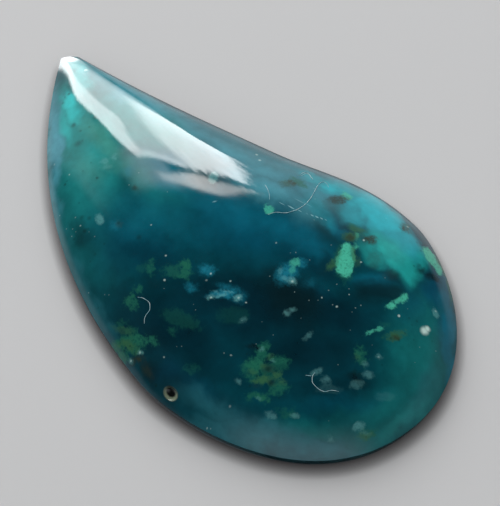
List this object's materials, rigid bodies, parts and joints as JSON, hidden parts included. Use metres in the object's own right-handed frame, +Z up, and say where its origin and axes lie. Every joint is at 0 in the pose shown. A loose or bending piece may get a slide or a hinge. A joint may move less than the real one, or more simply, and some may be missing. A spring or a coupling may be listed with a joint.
{
  "type": "chrysocolla cabochon",
  "caption": "Polished free-form teardrop cabochon of blue-green chrysocolla in chalcedony, flat-backed with a low dome.",
  "frame": {"origin": "centre of the flat back's side of the bounding box, so the stone stands on Z = 0", "axes": "+X along the length towards the round end, +Y across the width towards the straighter flank, +Z up from the flat back through the dome"},
  "size_m": [0.038, 0.0216, 0.0052],
  "materials": {
    "chrysocolla": "polished"
  },
  "bodies": {
    "root": {"cabochon": "chrysocolla"}
  },
  "joints": []
}
